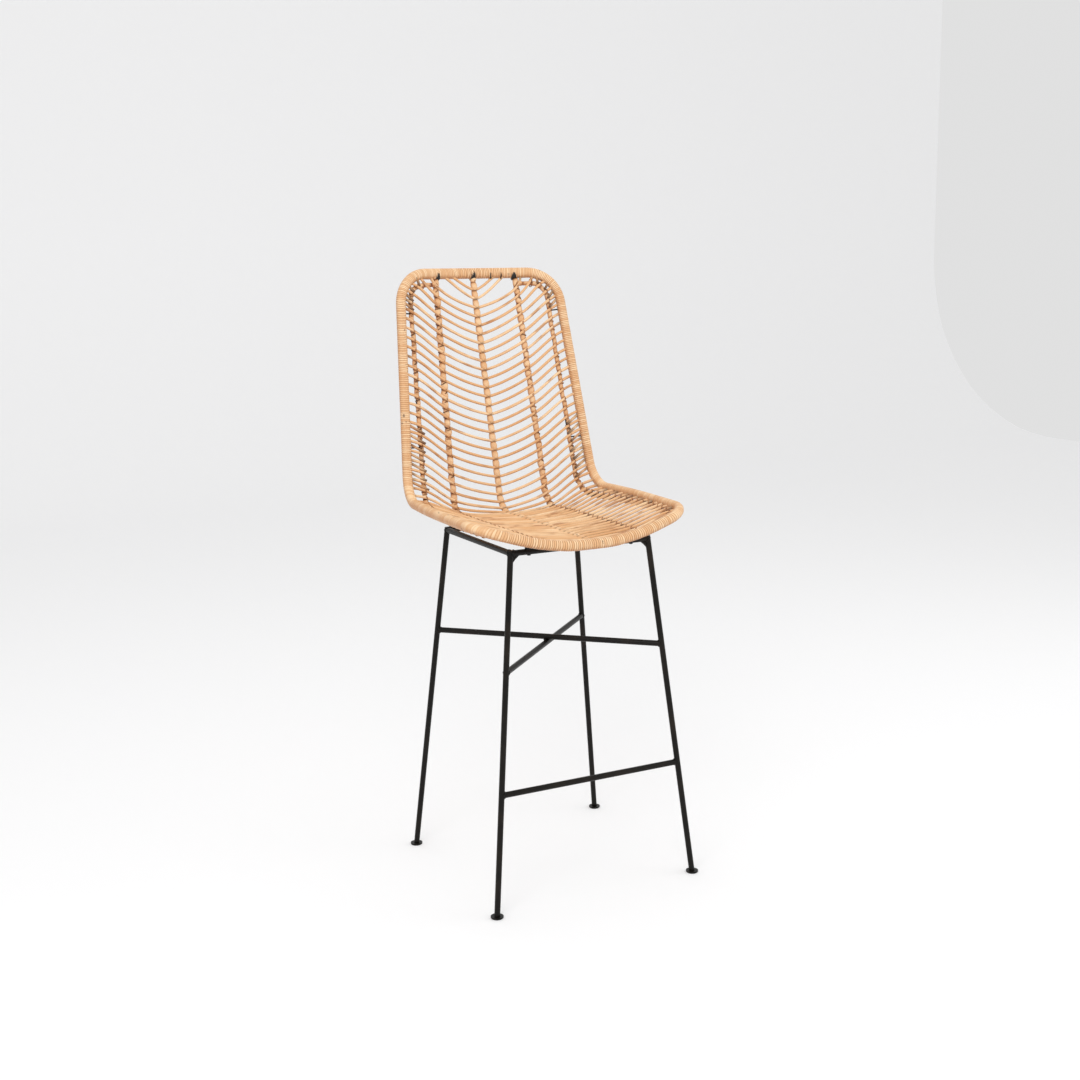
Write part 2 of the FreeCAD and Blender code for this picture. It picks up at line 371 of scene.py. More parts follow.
def tube_tree():
    """Sweeps a round section along paths.

    The paths carry radius, slide and lean_side (how far a ring leans along the path, and
    the side that leans forward), gap and gap_side (a bare spot and the side it's on)."""
    g = GeometryTree("Swept Tubes", {"Sides": 12, "Wobble": 0.0001, "Wobble Size": 0.01,
                                     "Bare Radius": 0.0047})
    curve = g.add("GeometryNodeMeshToCurve", None, {"Mesh": g.given("Geometry")})
    tangent = g.add("GeometryNodeInputTangent")
    curve = g.store(curve, "axis", tangent, "FLOAT_VECTOR")
    curve = g.store(curve, "spine", g.add("GeometryNodeInputPosition"), "FLOAT_VECTOR")
    circle = g.add("GeometryNodeCurvePrimitiveCircle", {"mode": "RADIUS"},
                   {"Resolution": g.given("Sides"), "Radius": 1.0})
    circle = g.store(circle, "round", g.add("GeometryNodeSplineParameter"))
    mesh = g.add("GeometryNodeCurveToMesh", None,
                 {"Curve": curve, "Profile Curve": circle, "Scale": g.named("radius"),
                  "Fill Caps": True})
    position = g.add("GeometryNodeInputPosition")
    spine = g.named_vector("spine")
    outward = g.vector("NORMALIZE", g.vector("SUBTRACT", position, spine))
    turn = g.named("round") * (2 * math.pi)
    lean = g.vector("DOT_PRODUCT", outward, g.named_vector("lean_side"))
    slid = g.vector("SCALE", g.named_vector("axis"),
                    scale=lean * g.named("slide"))
    facing = g.vector("DOT_PRODUCT", outward, g.named_vector("gap_side"))
    bare = g.add("ShaderNodeMath", {"operation": "GREATER_THAN"},
                 {0: facing, 1: g.named("gap")})
    sunk = (g.given("Bare Radius") - g.named("radius")) * bare
    field = g.noise(position, 1.0 / g.given("Wobble Size"), 1.0)
    swell = (field - 0.5) * g.given("Wobble") * 2.0
    moved = g.vector("ADD", slid, g.vector("SCALE", outward, scale=swell + sunk))
    mesh = g.store(mesh, "bare", bare)
    # How far each point faces the side that is painted lighter: painted light and shade by
    # facing.
    paler = g.vector("DOT_PRODUCT", outward, g.named_vector("pale_side"))
    mesh = g.store(mesh, "paler", paler)
    across = g.add("ShaderNodeMath", {"operation": "COSINE"}, {0: turn})
    up = g.add("ShaderNodeMath", {"operation": "SINE"}, {0: turn})
    grain = g.add("ShaderNodeCombineXYZ", None, {0: across, 1: up, 2: g.named("along")})
    mesh = g.store(mesh, "grain", grain, "FLOAT_VECTOR")
    mesh = g.add("GeometryNodeSetPosition", None, {"Geometry": mesh, "Offset": moved})
    return g.finish(mesh)


TREES = {}


def tubes():
    """The tree that sweeps tubes, built once."""
    if not TREES:
        TREES["tubes"] = tube_tree()
    return TREES["tubes"]


def lashing_tree():
    """Sets a band at each point, along the rod's direction and facing the sitter."""
    g = GeometryTree("Lashings", {"Band": None, "Size Spread": 0.03, "Seed": 4})
    info = g.add("GeometryNodeObjectInfo", None, {"Object": g.given("Band")}, 4)
    turned = g.add("FunctionNodeAxesToRotation",
                   {"primary_axis": "Z", "secondary_axis": "Y"},
                   {"Primary Axis": g.named_vector("along_rod"),
                    "Secondary Axis": g.named_vector("facing")})
    spread = g.given("Size Spread")
    jitter = g.add("FunctionNodeRandomValue", {"data_type": "FLOAT"},
                   {2: 1.0 - spread, 3: 1.0 + spread, 8: g.given("Seed")}, 1)
    scale = g.vector("SCALE", g.named_vector("size"), scale=jitter)
    bands = g.add("GeometryNodeInstanceOnPoints", None,
                  {"Points": g.given("Geometry"), "Instance": info, "Rotation": turned,
                   "Scale": scale})
    return g.finish(bands)


# ---- meshes and pieces ----
def path_mesh(name, paths, attributes, closed=False):
    """A mesh of edges along one or more paths, with a value of each attribute a point."""
    points = []
    edges = []
    for path in paths:
        first = len(points)
        points += [tuple(p) for p in path]
        edges += [(k, k + 1) for k in range(first, len(points) - 1)]
        if closed:
            edges.append((len(points) - 1, first))
    mesh = bpy.data.meshes.new(name)
    mesh.from_pydata(points, edges, [])
    for label, values in attributes.items():
        values = np.asarray(values, dtype=np.float32)
        kind, field = ("FLOAT", "value") if values.ndim == 1 else ("FLOAT_VECTOR", "vector")
        layer = mesh.attributes.new(label, kind, "POINT")
        layer.data.foreach_set(field, values.ravel())
    return mesh


def tube_paths_mesh(name, paths, closed=False):
    """Several tubes' rings in one mesh of edges."""
    labels = paths[0].attributes()
    joined = {label: [v for path in paths for v in path.attributes()[label]]
              for label in labels}
    return path_mesh(name, [path.points for path in paths], joined, closed)


def new_object(name, mesh):
    """An object in the scene, at the origin."""
    piece = bpy.data.objects.new(name, mesh)
    bpy.context.scene.collection.objects.link(piece)
    return piece


def grown(name, mesh, tree, material, **values):
    """Runs a Geometry Nodes tree on a mesh and keeps the result as a plain mesh."""
    piece = new_object(name, mesh)
    modifier = piece.modifiers.new("Growth", "NODES")
    modifier.node_group = tree
    values["Material"] = material
    for item in tree.interface.items_tree:
        if item.in_out == "INPUT" and item.name in values:
            modifier[item.identifier] = values[item.name]
    graph = bpy.context.evaluated_depsgraph_get()
    result = bpy.data.meshes.new_from_object(piece.evaluated_get(graph), depsgraph=graph,
                                             preserve_all_data_layers=True)
    piece.modifiers.remove(modifier)
    piece.data = result
    result.name = name
    if not result.polygons:
        raise RuntimeError(name + " came out empty")
    return piece


def belongs(piece, slot, *nodes):
    """Fixes a piece to the stool and hides the solids that it stands for; the slot of its
    finish is not used.
    """
    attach(piece, "root")
    if nodes:
        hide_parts(*nodes)


# ---- finishes ----
def linear(red, green, blue):
    """A colour as it looks on a screen, from 0 to 255, as the light it reflects."""
    shares = [c / 255 for c in (red, green, blue)]
    return tuple(c / 12.92 if c < 0.04045 else ((c + 0.055) / 1.055) ** 2.4
                 for c in shares) + (1.0,)


def finish_start(name):
    """A material with its tree and the piece's own coordinates."""
    material = bpy.data.materials.new(name)
    material.use_nodes = True
    material.node_tree.nodes.clear()
    g = Graph(material.node_tree)
    return material, g, g.add("ShaderNodeTexCoord", None, None, 3)


def finish_end(graph, fixed, **varying):
    """Closes a material: fixed socket values, and what changes over the surface."""
    names = {"colour": "Base Color", "roughness": "Roughness", "normal": "Normal"}
    inputs = dict(fixed)
    inputs.update({names[key]: value for key, value in varying.items()})
    surface = graph.add("ShaderNodeBsdfPrincipled", None, inputs)
    graph.add("ShaderNodeOutputMaterial", None, {"Surface": surface})


PALE = linear(250, 216, 172)
PEACH = linear(232, 184, 134)
HONEY = linear(214, 154, 98)
TOFFEE = linear(160, 92, 44)
BARK = linear(70, 36, 16)
SOOT = linear(14, 12, 11)


def peel_finish(name, highlight_share):
    """Wound rattan peel: darker joins with painted shade in the grooves, a painted highlight
    on the crowns, painted shade on the side turned from the light, and fine fibres.
    """
    material, g, coordinates = finish_start(name)
    across = g.attribute("across")
    tint = g.attribute("tint")
    grain = g.attribute("grain", 1)
    fibres = g.noise(g.vector("MULTIPLY", grain, (1.2, 1.2, 1500.0)), 1.0, 3.0, 0.6)
    drift = g.noise(coordinates, 22.0, 3.0, 0.55)
    marks = g.noise(coordinates, 75.0, 2.0, 0.5)
    # From the joins to the crowns: darker joins, partly the peel's own colour and partly
    # painted shade in the grooves, then a painted highlight on the crowns.
    colour = g.mix(g.smooth(across, 0.0, 0.35), BARK, TOFFEE)
    colour = g.mix(g.smooth(across, 0.12, 0.70), colour, PEACH)
    colour = g.mix(g.smooth(across + tint * 0.5, 0.85, 1.30) * highlight_share, colour, PALE)
    colour = g.mix(g.smooth(drift, 0.45, 0.75) * 0.5, colour, HONEY)
    # Painted shade on the side of the peel turned away from the light.
    colour = g.mix(g.smooth(g.attribute("paler"), 0.75, -0.1) * 0.55, colour, TOFFEE)
    colour = g.mix(g.smooth(fibres, 0.35, 0.75) * 0.2, colour, TOFFEE)
    colour = g.mix(g.smooth(marks + tint * 0.12, 0.76, 0.82) * 0.6, colour, BARK)
    # Painted shade on the lashings, for the shadowed gaps beside the crossings.
    colour = g.mix(g.attribute("shade"), colour, BARK)
    colour = g.mix(g.attribute("bare"), colour, SOOT)
    height = fibres * 0.5 + g.noise(coordinates, 420.0, 2.0) * 0.4
    bump = g.bump(height, 0.35, 0.0004)
    finish_end(g, {"Coat Weight": 0.12, "Coat Roughness": 0.3, "IOR": 1.46},
               colour=colour, roughness=0.38 + fibres * 0.2, normal=bump)
    return material


def cane_finish(name):
    """Split rattan core: straight fibres, a colour of its own for each strand, painted shade
    on its underside and where it tucks in at the centre rib.
    """
    material, g, coordinates = finish_start(name)
    tint = g.attribute("tint")
    dark_ends_and_painted_shade = g.attribute("across")
    grain = g.attribute("grain", 1)
    fibres = g.noise(g.vector("MULTIPLY", grain, (3.2, 3.2, 14.0)), 1.0, 3.0, 0.62)
    patches = g.noise(g.vector("MULTIPLY", grain, (0.3, 0.3, 22.0)), 1.0, 2.0, 0.5)
    drift = g.noise(coordinates, 9.0, 3.0, 0.6)
    colour = g.mix(g.smooth(tint, 0.15, 0.9), PEACH, PALE)
    colour = g.mix(g.smooth(drift, 0.42, 0.75) * 0.6, colour, HONEY)
    colour = g.mix(g.smooth(fibres, 0.36, 0.78) * 0.55, colour, HONEY)
    # Painted shade on the side of a strand turned away from the light.
    colour = g.mix(g.smooth(g.attribute("paler"), 0.5, -0.5) * 0.5, colour, TOFFEE)
    colour = g.mix(g.smooth(patches + tint * 0.12, 0.60, 0.80) * 0.6, colour, TOFFEE)
    # Dark strand tips and darker fillers, and painted shade where a strand tucks in at the
    # centre rib.
    colour = g.mix(dark_ends_and_painted_shade, colour, BARK)
    height = fibres * 0.6 + g.noise(coordinates, 300.0, 2.0) * 0.25
    bump = g.bump(height, 0.3, 0.0004)
    finish_end(g, {"Coat Weight": 0.08, "Coat Roughness": 0.4, "IOR": 1.46},
               colour=colour, roughness=0.44 + fibres * 0.2, normal=bump)
    return material


def steel_finish(name, dark, blotch_colour, gloss, grain_size):
    """Powder-coated steel: a fine pebbled skin, with soft blotches and specks of a second
    colour.
    """
    material, g, coordinates = finish_start(name)
    pebbles = g.noise(coordinates, grain_size, 2.0, 0.5)
    clouds = g.noise(coordinates, 14.0, 4.0, 0.6)
    colour = g.mix(g.smooth(clouds, 0.45, 0.75) * 0.6, dark, blotch_colour)
    colour = g.mix(g.smooth(pebbles, 0.55, 0.80) * 0.35, colour, blotch_colour)
    bump = g.bump(pebbles, 0.25, 0.0003)
    finish_end(g, {"IOR": 1.45, "Specular IOR Level": 0.24}, colour=colour,
               roughness=gloss + clouds * 0.18, normal=bump)
    return material


def stage_finish(name, colour):
    """Matt paper with a faint glow of its own."""
    material, g, coordinates = finish_start(name)
    mottle = g.noise(coordinates, 1.5, 2.0)
    fixed = {"Specular IOR Level": 0.1, "Emission Color": colour, "Emission Strength": 0.17}
    finish_end(g, fixed, colour=colour, roughness=0.85 + mottle * 0.1)
    return material


FINISHES = {}


def finishes():
    """Every material of the stool, made once."""
    if not FINISHES:
        FINISHES["rim"] = peel_finish("Rattan Rim Peel", 1.0)
        FINISHES["binding"] = peel_finish("Rattan Binding Peel", 0.7)
        FINISHES["cane"] = cane_finish("Rattan Cane")
        FINISHES["steel"] = steel_finish("Black Powder Coat", linear(11, 8, 5),
                                         linear(42, 33, 24), 0.30, 900.0)
        FINISHES["screw"] = steel_finish("Blackened Screw Steel", linear(44, 44, 45),
                                         linear(84, 84, 86), 0.28, 1800.0)
        FINISHES["glide"] = steel_finish("Glide Plastic", linear(30, 30, 30),
                                         linear(44, 44, 44), 0.55, 1400.0)
    return FINISHES


# ---- wound peel ----
RING_SHARES = (0.0, 0.2, 0.5, 0.8)      # where each band of peel has its rings
RING_CROWN = (0.0, 0.70, 1.0, 0.70)     # and how far they rise from the join
BAND_SPREAD = (0.84, 1.18)              # of a band's width
CROWN_SPREAD = (0.8, 1.2)
RIM_INSET = 0.0002                      # of a band's middle height in the rim's radius
# How light the peel is painted at a band's join and at its crown: the darker join is partly
# the peel's own colour and partly painted shade in the groove; the lighter crown is a
# painted highlight.
JOIN_PAINTED_LIGHT = 0.10
CROWN_PAINTED_LIGHT = 0.92


class TubePath:
    """Rings of a tube, each with its radius, lean, colour values and bare spot."""

    def __init__(self):
        self.points = []
        self.values = {label: [] for label in ("radius", "slide", "across", "tint",
                                               "along", "gap")}
        self.sides = {"lean_side": [], "gap_side": [], "pale_side": []}

    def ring(self, point, radius, along, slide=0.0, lean_side=(0, 0, 1), across=0.0,
             tint=0.5, gap=2.0, gap_side=(0, 0, 1), pale_side=(0, -0.5, 0.87)):
        self.points.append(point)
        given = (radius, slide, across, tint, along, gap)
        for kept, value in zip(self.values.values(), given):
            kept.append(value)
        self.sides["lean_side"].append(tuple(lean_side))
        self.sides["gap_side"].append(tuple(gap_side))
        self.sides["pale_side"].append(tuple(pale_side))

    def attributes(self):
        return dict(self.values, **self.sides)


def rim_point(distance):
    """A point of the whole rim, from the top's middle round the right-hand side."""
    half = ROUTES["rim"].length
    distance %= 2 * half
    if distance <= half:
        return ROUTES["rim"].at(distance)
    return mirrored(ROUTES["rim"].at(2 * half - distance))


# Along a half of the rim: from where, band width, crown, lean, its spread, smoothness.
RIM_ZONES = [(0.000, 0.0044, 0.00046, 0.00, 0.24, 0.05),
             (0.100, 0.0036, 0.00034, 0.00, 0.06, 0.30),
             (0.240, 0.0038, 0.00046, 0.00, 0.04, 0.12),
             (0.590, 0.0042, 0.00040, 0.06, 0.06, 0.15),
             (0.650, 0.0060, 0.00020, 0.35, 0.14, 0.70),
             (0.750, 0.0054, 0.00020, 0.22, 0.12, 0.70),
             (1.000, 0.0060, 0.00020, 0.40, 0.16, 0.70),
             (1.075, 0.0046, 0.00058, 0.08, 0.07, 0.10),
             (1.260, 0.0046, 0.00062, 0.00, 0.07, 0.05)]
# Bare spots of the rim: signed distance from the top's middle, half width, and how
# far round the tube they reach, as the cosine of that angle.
RIM_GAPS = [(0.0, 0.0068, 0.38), (-0.0975, 0.0060, 0.42), (0.0975, 0.0068, 0.38),
            (0.0430, 0.0019, 0.40), (0.0680, 0.0017, 0.45)]
GAP_SIDE = Vector((0, -0.64, -0.77))
# The peel is thicker along the top, where the ribs' ends are wound in: distance, extra.
TOP_PLUMP = ((0.0, 0.115, 0.20), (0.0013, 0.0013, 0.0))
SITTER = Vector((0, -0.8, 0.6))         # roughly where the sitter is, from any rod


def rim_zone(distance):
    """Band width, crown, lean, its spread and smoothness along a half of the rim."""
    marks = [zone[0] for zone in RIM_ZONES]
    return [float(np.interp(distance, marks, [zone[k] for zone in RIM_ZONES]))
            for k in range(1, 6)]


def rim_gap(distance, whole):
    """How far round the tube the rim is bare at a distance; 2 where it isn't."""
    signed = distance if distance < whole / 2 else distance - whole
    reach = 2.0
    for middle, half_width, cosine in RIM_GAPS:
        share = abs(signed - middle) / half_width
        if share < 1:
            reach = min(reach, cosine + (1 - cosine) * share)
    return reach


def wind_rim(radius):
    """The rim's peel: rings of every band round the whole rim."""
    draw = random.Random(RIM_SEED)
    whole = 2 * ROUTES["rim"].length
    bands = []
    start = 0.0
    while start < whole:
        width, crown, lean, spread, smooth = rim_zone(min(start, whole - start))
        width *= draw.uniform(*BAND_SPREAD)
        side = 1 if start < whole / 2 else -1
        bands.append((start, width, crown * draw.uniform(*CROWN_SPREAD),
                      side * lean + draw.uniform(-spread, spread), draw.random(), smooth))
        start += width
    stretch = whole / start
    path = TubePath()
    for k, (start, width, crown, lean, tint, smooth) in enumerate(bands):
        following = bands[(k + 1) % len(bands)]
        for share, rise in zip(RING_SHARES, RING_CROWN):
            distance = (start + share * width) * stretch
            heading = rim_point(distance + 0.002) - rim_point(distance - 0.002)
            plump = float(np.interp(min(distance, whole - distance), *TOP_PLUMP))
            blended = lean + (following[3] - lean) * share
            # Painted light of the band: a painted highlight on the crown, painted shade at
            # the joins, evenly light where the peel is smooth.
            painted_light_share = rise * (1 - smooth) + smooth
            path.ring(rim_point(distance) - Vector((0, 0, plump)),
                      radius + plump - RIM_INSET + crown * (2 * rise - 1),
                      distance, slide=radius * math.tan(blended),
                      lean_side=heading.cross(SITTER).normalized(),
                      across=JOIN_PAINTED_LIGHT + (CROWN_PAINTED_LIGHT - JOIN_PAINTED_LIGHT) * painted_light_share,
                      tint=tint, gap=rim_gap(distance, whole), gap_side=GAP_SIDE,
                      pale_side=SITTER)
    return path


def crossings(name):
    """Distances along a rod at which the strands of the back and the seat cross it."""
    counted, first, pitch = BACK_CROSSINGS[name]
    begin = FIRST_OVER.get(name, 1)
    back = [first + pitch * (n - counted) for n in range(begin, BACK_STRANDS + 1)]
    return back + [seat_distances(n)[name] for n in range(SEAT_STRANDS)]


# How each rod is wound between two strands: radius in the joins, swell,
# how far forward it bulges, the smile of its joins, its lean, its unevenness, and how
# light its crowns are painted (a painted highlight, with painted shade towards the strands).
WINDINGS = {"centre": (0.0051, 0.0024, 0.0026, 0.0028, 0.08, 0.05, 0.95),
            "rib": (0.0054, 0.0022, 0.0010, 0.0008, 0.45, 0.13, 0.82),
            "loop": (0.0044, 0.0009, 0.0004, 0.0004, 0.55, 0.15, 0.70)}
PILLOW_SHARES = (0.0, 0.05, 0.14, 0.28, 0.42, 0.58, 0.72, 0.86, 0.95)
PILLOW_SQUARENESS = 2.2       # of a pillow's outline: 2 is a parabola
PAINTED_LIGHT_EXPONENT = 1.3           # how late the painted light comes, from the painted shade at the join to the middle
END_GAP = 0.0005              # from a rod's end to its first or last ring
TOP_PILLOW = 0.0195           # the pillow above the first strand, where there's room


def wind_rod(name, seed):
    """The peel of a rib or side loop: a pillow between each two strands."""
    base, swell, forward, smile, lean_spread, uneven, crown_painted_light = WINDINGS[name]
    draw = random.Random(seed)
    route = ROUTES[name]
    crossed = crossings(name)
    stops = [END_GAP]
    if crossed[0] > 1.5 * TOP_PILLOW:
        stops.append(crossed[0] - TOP_PILLOW)
    stops += crossed + [route.length - END_GAP]
    path = TubePath()
    for low, high in zip(stops[:-1], stops[1:]):
        plump = swell * draw.uniform(1 - 4 * uneven, 1 + 2 * uneven)
        lean = draw.uniform(-lean_spread, lean_spread)
        tint = draw.random()
        aside = draw.uniform(-uneven, uneven) * 0.01
        for share in PILLOW_SHARES:
            rise = 1 - abs(2 * share - 1) ** PILLOW_SQUARENESS
            distance = low + (high - low) * share
            front = route.front(distance)
            side = route.heading(distance).cross(front)
            lean_to = front * smile + side * base * math.tan(lean)
            # The crown is painted light, as a painted highlight, and the peel darker towards
            # the strands, as painted shade.
            path.ring(route.over(distance, forward * rise) + side * aside * rise,
                      base + plump * rise, distance, slide=lean_to.length,
                      lean_side=lean_to.normalized(),
                      across=crown_painted_light * rise ** PAINTED_LIGHT_EXPONENT, tint=tint, pale_side=front)
    return path


def mirrored_path(path):
    """The same rings on the left-hand side of the stool."""
    other = TubePath()
    other.points = [mirrored(p) for p in path.points]
    other.values = path.values
    other.sides = {key: [tuple(mirrored(side)) for side in sides]
                   for key, sides in path.sides.items()}
    return other


# ---- strands ----
TUCK = 0.0058                 # a strand is painted dark this near to the centre rib's middle: painted shade where it dips into the rib's groove
TUCK_PAINTED_SHADE = 0.75
DARK_END = (0.010, 0.026)     # how long a strand's dark end is, where it has one
END_SHADE = 0.9
THICKNESS_SPREAD = (0.94, 1.05)
SWELL_SHARE = 0.04            # a strand's slow change of thickness, and how fast it is
SWELL_RATE = 38
GRAIN_STEP = 0.37             # keeps the fibres of one strand apart from the next one's


def cane(route, radius, draw, dark_ends, number, shade=0.0):
    """A strand's rings, with its own thickness, colour and now and then a dark end."""
    path = TubePath()
    tint = draw.random()
    thickness = radius * draw.uniform(*THICKNESS_SPREAD)
    reach = [draw.uniform(*DARK_END) if draw.random() < dark_ends else 0.0
             for _ in range(2)]
    drift = draw.uniform(0, 10)
    for point, distance in zip(route.points, route.marks):
        dark = shade
        for dark_reach, from_end in zip(reach, (distance, route.length - distance)):
            if dark_reach:
                share = 1 - min(1, from_end / dark_reach)
                dark = max(dark, END_SHADE * share ** 0.5)
        # Painted shade where the strand tucks into the centre rib's groove.
        if abs(point[0]) < TUCK:
            dark = TUCK_PAINTED_SHADE
        swell = SWELL_SHARE * math.sin(distance * SWELL_RATE + drift)
        path.ring(point, thickness * (1 + swell), distance + number * GRAIN_STEP,
                  across=dark, tint=tint)
    return path


# Short dark fillers between the rim and a side loop: the back strands they follow.
FILLERS = (4, 5, 6, 7, 20, 21, 22, 23, 24, 25, 26)
FILLER_SHIFT = (-0.005, 0.004)          # from halfway between strands, at rim and loop
FILLER_OVERSHOOT = (1.02, 1.25)
FILLER_SHADE = (0.05, 0.30)
FILLER_THICKNESS = 0.95                 # of a strand's


def fillers(radius, draw):
    """Short lengths of darker cane from the rim to the side loops."""
    found = []
    half_pitch = BACK_CROSSINGS["rim"][2] / 2
    for number in FILLERS:
        distances = back_distances(number)
        start = ROUTES["rim"].at(distances["rim"] + half_pitch + FILLER_SHIFT[0])
        end = ROUTES["loop"].over(distances["loop"] + half_pitch + FILLER_SHIFT[1],
                                  STRAND_HEIGHT["loop"])
        for side in (1, -1):
            tail = start + (end - start) * draw.uniform(*FILLER_OVERSHOOT)
            points = [start.lerp(tail, k / 6) for k in range(7)]
            route = Route([Vector((p.x * side, p.y, p.z)) for p in points])
            found.append(cane(route, radius * FILLER_THICKNESS, draw, 1.0, number,
                              shade=draw.uniform(*FILLER_SHADE)))
    return found


# ---- lashings ----
def band_mesh(name, segments=13):
    """A closed band of peel, 1 wide and 1 deep from the middle to its front and sides."""
    # The third number of a section point sets how light it is painted: a painted highlight
    # on the band's crown, painted shade at its sides and behind, where it dives into the
    # weave.
    section = [(-0.5, 0.0, 0.0), (0.0, 0.12, 1.0), (0.5, 0.0, 0.0), (0.0, -0.06, 0.3)]
    points = []
    crowns = []
    for k in range(segments):
        turn = 2 * math.pi * k / segments
        depth = 1.0 if math.sin(turn) > 0 else 0.62
        for z, out, crown in section:
            points.append(((1 + out) * math.cos(turn), (depth + out) * math.sin(turn), z))
            crowns.append(crown)
    faces = []
    for k in range(segments):
        for j in range(4):
            after = (k + 1) % segments
            faces.append((4 * k + j, 4 * after + j, 4 * after + (j + 1) % 4,
                          4 * k + (j + 1) % 4))
    mesh = bpy.data.meshes.new(name)
    mesh.from_pydata(points, [], faces)
    layer = mesh.attributes.new("across", "FLOAT", "POINT")
    layer.data.foreach_set("value", crowns)
    shell = bmesh.new()
    shell.from_mesh(mesh)
    bmesh.ops.recalc_face_normals(shell, faces=shell.faces)
    shell.to_mesh(mesh)
    shell.free()
    return mesh


class Lashings:
    """Points that carry a band: where, along which direction, facing where, how big."""

    def __init__(self):
        self.points = []
        self.values = {label: [] for label in ("along_rod", "facing", "size", "tint",
                                               "shade")}

    def add(self, point, heading, facing, lean, size, tint, shade, side=1):
        turned = Matrix.Rotation(lean, 3, facing) @ heading
        flip = Vector((side, 1, 1))
        self.points.append(point * flip)
        kept = (tuple(turned * flip), tuple(facing * flip), size, tint, shade)
        for values, value in zip(self.values.values(), kept):
            values.append(value)

    def mesh(self, name):
        return path_mesh(name, [[p] for p in self.points], self.values)


# Bands of peel over the crossings: half width, depth in front, width, lean.
BANDS = {"loop": (0.0056, 0.0110, 0.0036, 0.60), "rib": (0.0073, 0.0119, 0.0028, 0.62)}
SIZE_SPREAD = (0.92, 1.08)
WIDTH_SPREAD = (0.8, 1.25)
LEAN_SPREAD = 0.16
# How dark each band is painted: painted shade for the shadowed gaps beside the crossings.
BAND_PAINTED_SHADE = (0.0, 0.1, 0.35)
# Many crossings have a second band: how many, how far on along the rod, its lean as a
# share of the first one's (the other way), its size as a share, its painted shade.
SECOND_BANDS = 0.75
SECOND_SHIFT = (0.0045, 0.0085)
SECOND_LEAN = (0.2, 1.1)
SECOND_SIZE = (0.97, 0.80, 0.8)
SECOND_PAINTED_SHADE = (0.05, 0.35, 0.75)


def tie_strands():
    """Bands over each crossing of the ribs and loops, leaning against the strand."""
    draw = random.Random(LASHING_SEED)
    found = Lashings()
    for name, (half_width, depth, width, lean) in BANDS.items():
        route = ROUTES[name]
        for distance in crossings(name):
            for side in (1, -1):
                heading, front = route.heading(distance), route.front(distance)
                half = half_width * draw.uniform(*SIZE_SPREAD)
                size = (half, depth, width * draw.uniform(*WIDTH_SPREAD))
                found.add(route.at(distance), heading, front,
                          lean + draw.uniform(-LEAN_SPREAD, LEAN_SPREAD), size,
                          draw.random(), draw.choice(BAND_PAINTED_SHADE), side)
                if draw.random() < SECOND_BANDS:
                    place = route.at(distance + draw.uniform(*SECOND_SHIFT))
                    leaning = -lean * draw.uniform(*SECOND_LEAN)
                    size = tuple(measure * share for measure, share
                                 in zip((half, depth, width), SECOND_SIZE))
                    found.add(place, heading, front, leaning, size, draw.random(),
                              draw.choice(SECOND_PAINTED_SHADE), side)
    return found


# ---- base welds ----
WELD_BEAD_R = 0.0017
WELD_STANDOFF = 0.0006        # from the leg's surface to the bead's middle


def leg_point(side_x, side_y, height):
    """The point of a leg's axis at a height."""
    share = height / RAIL_Z
    x = FOOT_HALF[0] + (RAIL_HALF[0] - FOOT_HALF[0]) * share
    y = FOOT_HALF[1] + (RAIL_HALF[1] - FOOT_HALF[1]) * share
    return Vector((side_x * x, side_y * y + LEG_FRAME_Y / 1000, height))


def leg_direction(side_x, side_y):
    return (leg_point(side_x, side_y, RAIL_Z) - leg_point(side_x, side_y, 0)).normalized()


def weld_ring(corner, leg, rod, parts=20):
    """Points round the joint where a rod meets a leg, along the saddle between them."""
    across = rod.cross(leg).normalized()
    upward = across.cross(rod).normalized()
    tilt = rod.dot(leg) / max(0.2, upward.dot(leg))
    points = []
    for k in range(parts):
        turn = 2 * math.pi * k / parts
        aside = ROD_R * math.cos(turn)
        rise = ROD_R * math.sin(turn)
        saddle = math.sqrt(max(0.0, ROD_R ** 2 - aside ** 2))
        points.append(corner + rod * (saddle + rise * tilt + WELD_STANDOFF)
                      + across * aside + upward * rise)
    return points


def base_joints():
    """Each joint of the base: its corner, the leg's direction and the rod's direction."""
    joints = []
    for x, y in ((-1, -1), (-1, 1), (1, -1), (1, 1)):
        top = leg_point(x, y, RAIL_Z)
        joints.append((top, leg_direction(x, y), Vector((-x, 0, 0))))
        joints.append((top, leg_direction(x, y), Vector((0, -y, 0))))
    for x, y, height in ((-1, 1, BRACE_Z + ROD_R), (1, -1, BRACE_Z + ROD_R),
                         (-1, -1, BRACE_Z - ROD_R), (1, 1, BRACE_Z - ROD_R)):
        corner = leg_point(x, y, height)
        far = leg_point(-x, -y, height)
        joints.append((corner, leg_direction(x, y), (far - corner).normalized()))
    for x in (-1, 1):
        joints.append((leg_point(x, -1, FOOTREST_Z), leg_direction(x, -1),
                       Vector((-x, 0, 0))))
    return joints


# ---- user settings ----
class StoolWeaveSettings(bpy.types.PropertyGroup):
    rim_radius: bpy.props.FloatProperty(
        name="Rim Radius", description="Radius of the rim over its wound peel",
        default=0.0105, min=0.006, max=0.011, unit="LENGTH")
    strand_radius: bpy.props.FloatProperty(
        name="Strand Radius", description="Radius of a woven strand of cane",
        default=0.0031, min=0.0015, max=0.004, unit="LENGTH")
    rim_sides: bpy.props.IntProperty(
        name="Rim Sides", description="Sides of the rim's round section",
        default=26, min=8, max=28)


